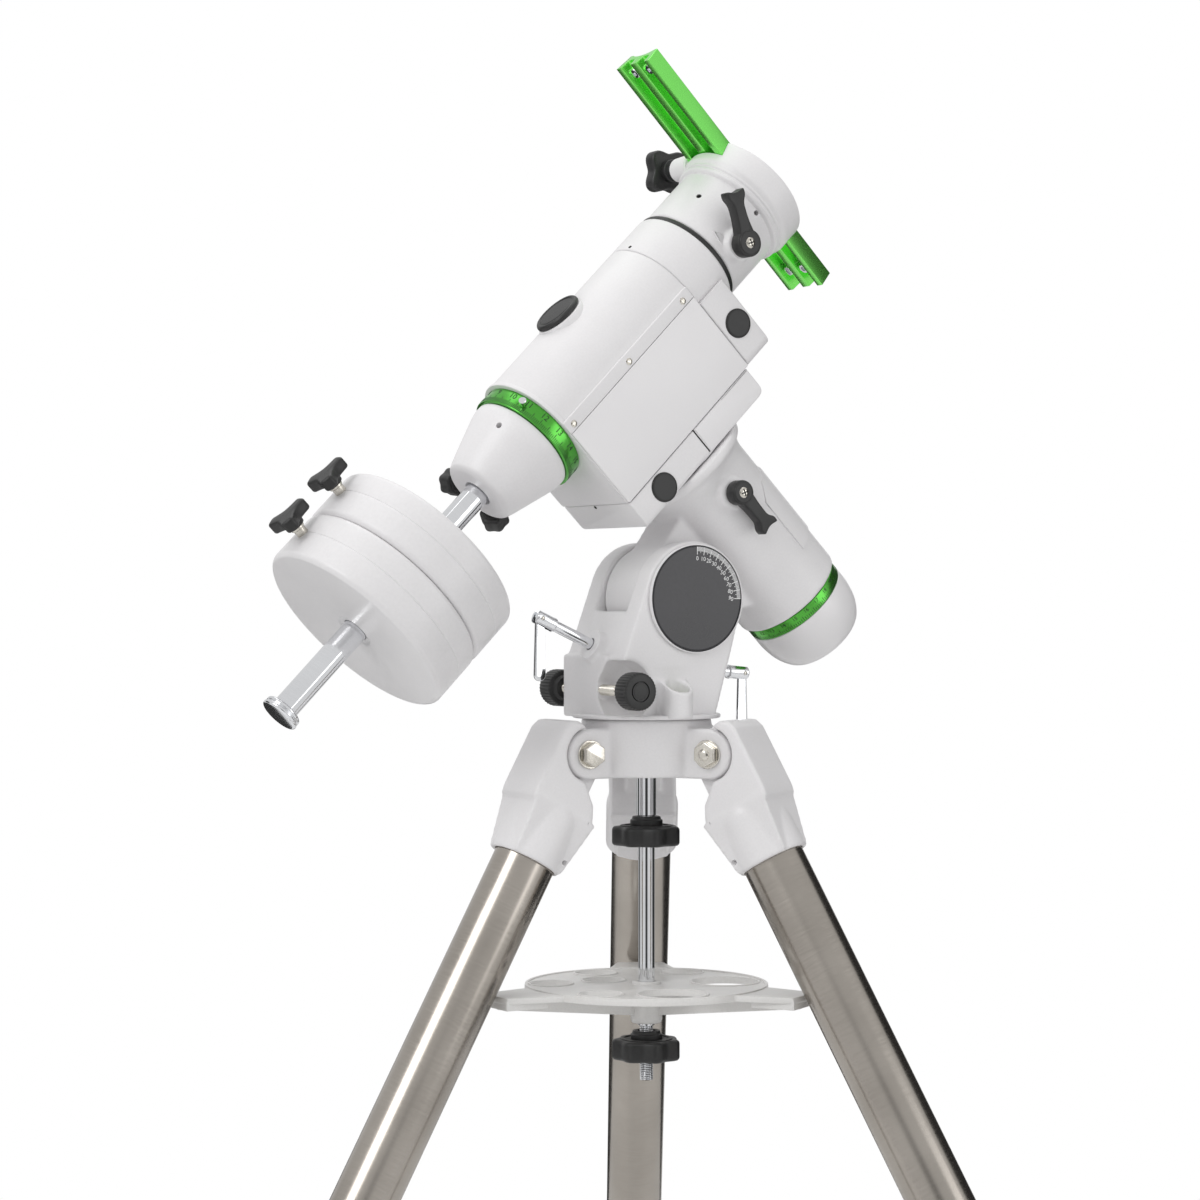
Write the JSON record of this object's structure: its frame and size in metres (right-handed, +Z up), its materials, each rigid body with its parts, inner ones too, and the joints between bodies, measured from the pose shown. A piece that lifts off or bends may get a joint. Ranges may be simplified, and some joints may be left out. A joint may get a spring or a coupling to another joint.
{
  "type": "equatorial telescope mount on tripod",
  "caption": "Equatorial telescope mount head with dovetail bar, setting circles and counterweights on a folding tripod with a central rod and accessory tray.",
  "frame": {"origin": "on the floor, below the middle of the three feet", "axes": "+Z up; +X south, towards the polar scope cap; -X north, towards the counterweights and one leg; +Y east; -Y west, the side with the latitude dial"},
  "size_m": [0.8159, 0.9366, 1.3302],
  "materials": {
    "white_casting": "white powder coat with a fine texture over cast aluminium",
    "white_iron": "white powder coat with a fine texture over cast iron",
    "white_plastic": "white moulded plastic, lightly textured",
    "stainless_tube": "brushed stainless steel",
    "chrome": "polished chrome plate",
    "black_plastic": "black moulded plastic, satin",
    "green_anodised": "bright green anodised, machined",
    "machined_steel": "turned steel",
    "motor_steel": "black painted motor case",
    "vial": "clear vial with a yellow-green fluid"
  },
  "bodies": {
    "tripod": {"tripod_hub": "white_casting", "leg_bolt_north": "chrome", "leg_bolt_southwest": "chrome", "leg_bolt_southeast": "chrome"},
    "leg_north": {"leg_bracket_north": "white_casting", "leg_tube_north": "stainless_tube", "leg_clamp_north": "white_casting"},
    "extension_north": {"leg_extension_north": "stainless_tube"},
    "clamp_screw_north": {"clamp_screw_north": "black_plastic"},
    "leg_southwest": {"leg_bracket_southwest": "white_casting", "leg_tube_southwest": "stainless_tube", "leg_clamp_southwest": "white_casting"},
    "extension_southwest": {"leg_extension_southwest": "stainless_tube"},
    "clamp_screw_southwest": {"clamp_screw_southwest": "black_plastic"},
    "leg_southeast": {"leg_bracket_southeast": "white_casting", "leg_tube_southeast": "stainless_tube", "leg_clamp_southeast": "white_casting"},
    "extension_southeast": {"leg_extension_southeast": "stainless_tube"},
    "clamp_screw_southeast": {"clamp_screw_southeast": "black_plastic"},
    "fixing_rod": {"fixing_rod": "chrome", "rod_knob": "black_plastic"},
    "tray": {"accessory_tray": "white_casting"},
    "tray_knob": {"tray_knob": "black_plastic"},
    "azimuth_base": {"mount_base": "white_casting", "latitude_dial": "black_plastic", "bubble_level": "vial", "latitude_axle": "chrome"},
    "azimuth_knob_west": {"azimuth_knob_west": "black_plastic"},
    "azimuth_knob_east": {"azimuth_knob_east": "black_plastic"},
    "altitude_bolt_north": {"altitude_bolt_north": "chrome"},
    "altitude_lever_north": {"altitude_lever_north": "chrome"},
    "altitude_bolt_south": {"altitude_bolt_south": "chrome"},
    "altitude_lever_south": {"altitude_lever_south": "chrome"},
    "polar_housing": {"ra_housing": "white_casting"},
    "ra_clutch_lever": {"ra_clutch_lever": "black_plastic"},
    "ra_setting_circle": {"ra_setting_circle": "green_anodised"},
    "polar_scope_cap": {"polar_scope_cap": "white_plastic"},
    "declination_housing": {"ra_shaft": "machined_steel", "polar_scope": "black_plastic", "dec_housing": "white_casting", "dec_side_cover": "white_casting", "dec_motor_cover": "white_plastic", "ra_motor": "motor_steel", "dec_motor": "motor_steel", "dec_end_cone": "white_casting"},
    "polar_window_cap": {"polar_window_cap": "black_plastic"},
    "dec_setting_circle": {"dec_setting_circle": "green_anodised"},
    "shaft_lock_upper": {"shaft_lock_knob_upper": "black_plastic"},
    "shaft_lock_lower": {"shaft_lock_knob_lower": "black_plastic"},
    "saddle": {"dec_shaft": "machined_steel", "saddle_head": "white_casting"},
    "dec_clutch_lever": {"dec_clutch_lever": "black_plastic"},
    "dovetail_bar": {"dovetail_bar": "green_anodised"},
    "saddle_lock_knob": {"saddle_lock_knob": "black_plastic"},
    "counterweight_shaft": {"counterweight_shaft": "chrome"},
    "shaft_end_cap": {"shaft_end_cap": "chrome"},
    "counterweight_upper": {"counterweight_upper": "white_iron"},
    "weight_knob_upper": {"weight_knob_upper": "black_plastic"},
    "counterweight_lower": {"counterweight_lower": "white_iron"},
    "weight_knob_lower": {"weight_knob_lower": "black_plastic"}
  },
  "joints": [
    {"name": "leg_fold_north", "type": "hinge", "parent": "tripod", "child": "leg_north", "pos_m": [0.06946, 0, 0.826], "axis": [0, -1, 0], "range_deg": [0, 20]},
    {"name": "leg_fold_southwest", "type": "hinge", "parent": "tripod", "child": "leg_southwest", "pos_m": [0.15946, -0.05196, 0.826], "axis": [0.866, 0.5, 0], "range_deg": [0, 20]},
    {"name": "leg_fold_southeast", "type": "hinge", "parent": "tripod", "child": "leg_southeast", "pos_m": [0.15946, 0.05196, 0.826], "axis": [-0.866, 0.5, 0], "range_deg": [0, 20]},
    {"name": "leg_extend_north", "type": "slide", "parent": "leg_north", "child": "extension_north", "axis": [-0.4848, 0, -0.8746], "range_m": [0, 0.42]},
    {"name": "clamp_screw_turn_north", "type": "hinge", "parent": "leg_north", "child": "clamp_screw_north", "pos_m": [-0.32856, 0, 0.10794], "axis": [-0.8746, 0, 0.4848], "continuous": true},
    {"name": "leg_extend_southwest", "type": "slide", "parent": "leg_southwest", "child": "extension_southwest", "axis": [0.2424, -0.4199, -0.8746], "range_m": [0, 0.42]},
    {"name": "clamp_screw_turn_southwest", "type": "hinge", "parent": "leg_southwest", "child": "clamp_screw_southwest", "pos_m": [0.35848, -0.39666, 0.10794], "axis": [0.4373, -0.7574, 0.4848], "continuous": true},
    {"name": "leg_extend_southeast", "type": "slide", "parent": "leg_southeast", "child": "extension_southeast", "axis": [0.2424, 0.4199, -0.8746], "range_m": [0, 0.42]},
    {"name": "clamp_screw_turn_southeast", "type": "hinge", "parent": "leg_southeast", "child": "clamp_screw_southeast", "pos_m": [0.35848, 0.39666, 0.10794], "axis": [0.4373, 0.7574, 0.4848], "continuous": true},
    {"name": "fixing_rod_turn", "type": "hinge", "parent": "tripod", "child": "fixing_rod", "pos_m": [0.12946, 0, 0.85], "axis": [0, 0, 1], "continuous": true},
    {"name": "tray_slide", "type": "slide", "parent": "tripod", "child": "tray", "axis": [0, 0, -1], "range_m": [0, 0.42]},
    {"name": "tray_knob_turn", "type": "hinge", "parent": "tray", "child": "tray_knob", "pos_m": [0.12946, 0, 0.85], "axis": [0, 0, 1], "continuous": true},
    {"name": "azimuth_turn", "type": "hinge", "parent": "tripod", "child": "azimuth_base", "pos_m": [0.12946, 0, 0.85], "axis": [0, 0, 1], "range_deg": [-8, 8]},
    {"name": "azimuth_knob_turn_west", "type": "hinge", "parent": "azimuth_base", "child": "azimuth_knob_west", "pos_m": [0.08747, 0, 0.871], "axis": [0, -1, 0], "continuous": true},
    {"name": "azimuth_knob_turn_east", "type": "hinge", "parent": "azimuth_base", "child": "azimuth_knob_east", "pos_m": [0.08747, 0, 0.871], "axis": [0, 1, 0], "continuous": true},
    {"name": "altitude_bolt_turn_north", "type": "hinge", "parent": "azimuth_base", "child": "altitude_bolt_north", "pos_m": [0.08246, 0, 0.9035], "axis": [-0.9135, 0, 0.4067], "continuous": true},
    {"name": "altitude_lever_swing_north", "type": "hinge", "parent": "altitude_bolt_north", "child": "altitude_lever_north", "pos_m": [0.04044, 0, 0.92221], "axis": [0, 1, 0], "range_deg": [-18, 60]},
    {"name": "altitude_bolt_turn_south", "type": "hinge", "parent": "azimuth_base", "child": "altitude_bolt_south", "pos_m": [0.18246, 0, 0.884], "axis": [0.9962, 0, -0.0872], "range_deg": [-135, 135]},
    {"name": "altitude_lever_swing_south", "type": "hinge", "parent": "altitude_bolt_south", "child": "altitude_lever_south", "pos_m": [0.21235, 0, 0.88138], "axis": [0, 1, 0], "range_deg": [-75, 18]},
    {"name": "latitude_tilt", "type": "hinge", "parent": "azimuth_base", "child": "polar_housing", "pos_m": [0.14547, 0, 0.936], "axis": [0, 1, 0], "range_deg": [-25, 10]},
    {"name": "ra_clutch_turn", "type": "hinge", "parent": "polar_housing", "child": "ra_clutch_lever", "pos_m": [0.17587, -0.0455, 1.01166], "axis": [0, -1, 0], "range_deg": [0, 60]},
    {"name": "ra_circle_turn", "type": "hinge", "parent": "polar_housing", "child": "ra_setting_circle", "pos_m": [0.08324, 0, 1.10995], "axis": [-0.7071, 0, 0.7071], "continuous": true},
    {"name": "polar_cap_pull", "type": "slide", "parent": "polar_housing", "child": "polar_scope_cap", "axis": [0.7071, 0, -0.7071], "range_m": [0, 0.06]},
    {"name": "ra_turn", "type": "hinge", "parent": "polar_housing", "child": "declination_housing", "pos_m": [0.08324, 0, 1.10995], "axis": [-0.7071, 0, 0.7071], "range_deg": [-120, 120]},
    {"name": "window_cap_pull", "type": "slide", "parent": "declination_housing", "child": "polar_window_cap", "axis": [-0.7071, 0, 0.7071], "range_m": [0, 0.025]},
    {"name": "dec_circle_turn", "type": "hinge", "parent": "declination_housing", "child": "dec_setting_circle", "pos_m": [0.08713, 0, 1.10606], "axis": [0.7071, 0, 0.7071], "continuous": true},
    {"name": "shaft_lock_turn_upper", "type": "hinge", "parent": "declination_housing", "child": "shaft_lock_upper", "pos_m": [-0.00409, 0, 1.01484], "axis": [-0.0984, 0.9903, 0.0984], "continuous": true},
    {"name": "shaft_lock_turn_lower", "type": "hinge", "parent": "declination_housing", "child": "shaft_lock_lower", "pos_m": [-0.00409, 0, 1.01484], "axis": [0.5572, 0.6157, -0.5572], "continuous": true},
    {"name": "dec_turn", "type": "hinge", "parent": "declination_housing", "child": "saddle", "pos_m": [0.08713, 0, 1.10606], "axis": [0.7071, 0, 0.7071], "continuous": true},
    {"name": "dec_clutch_turn", "type": "hinge", "parent": "saddle", "child": "dec_clutch_lever", "pos_m": [0.18117, -0.046, 1.1902], "axis": [0, -1, 0], "range_deg": [-60, 0]},
    {"name": "bar_slide", "type": "slide", "parent": "saddle", "child": "dovetail_bar", "axis": [-0.7071, 0, 0.7071], "range_m": [-0.04, 0.04]},
    {"name": "saddle_knob_turn", "type": "hinge", "parent": "saddle", "child": "saddle_lock_knob", "pos_m": [0.18824, 0, 1.25667], "axis": [0, 1, 0], "continuous": true},
    {"name": "shaft_retract", "type": "slide", "parent": "declination_housing", "child": "counterweight_shaft", "axis": [0.7071, 0, 0.7071], "range_m": [0, 0.015]},
    {"name": "end_cap_turn", "type": "hinge", "parent": "counterweight_shaft", "child": "shaft_end_cap", "pos_m": [0.08713, 0, 1.10606], "axis": [0.7071, 0, 0.7071], "continuous": true},
    {"name": "weight_slide_upper", "type": "slide", "parent": "counterweight_shaft", "child": "counterweight_upper", "axis": [0.7071, 0, 0.7071], "range_m": [0, 0.035]},
    {"name": "weight_slide_lower", "type": "slide", "parent": "counterweight_shaft", "child": "counterweight_lower", "axis": [-0.7071, 0, -0.7071], "range_m": [0, 0.055]},
    {"name": "weight_knob_turn_upper", "type": "hinge", "parent": "counterweight_upper", "child": "weight_knob_upper", "pos_m": [-0.06278, 0, 0.95615], "axis": [-0.7071, 0, 0.7071], "continuous": true},
    {"name": "weight_knob_turn_lower", "type": "hinge", "parent": "counterweight_lower", "child": "weight_knob_lower", "pos_m": [-0.09127, 0, 0.92766], "axis": [-0.7071, 0, 0.7071], "continuous": true}
  ],
  "couplings": [
    {"joint": "leg_fold_southwest", "follows": "leg_fold_north", "ratio": 1},
    {"joint": "leg_fold_southeast", "follows": "leg_fold_north", "ratio": 1},
    {"joint": "tray_slide", "follows": "leg_fold_north", "m_per_rad": 1.203}
  ]
}
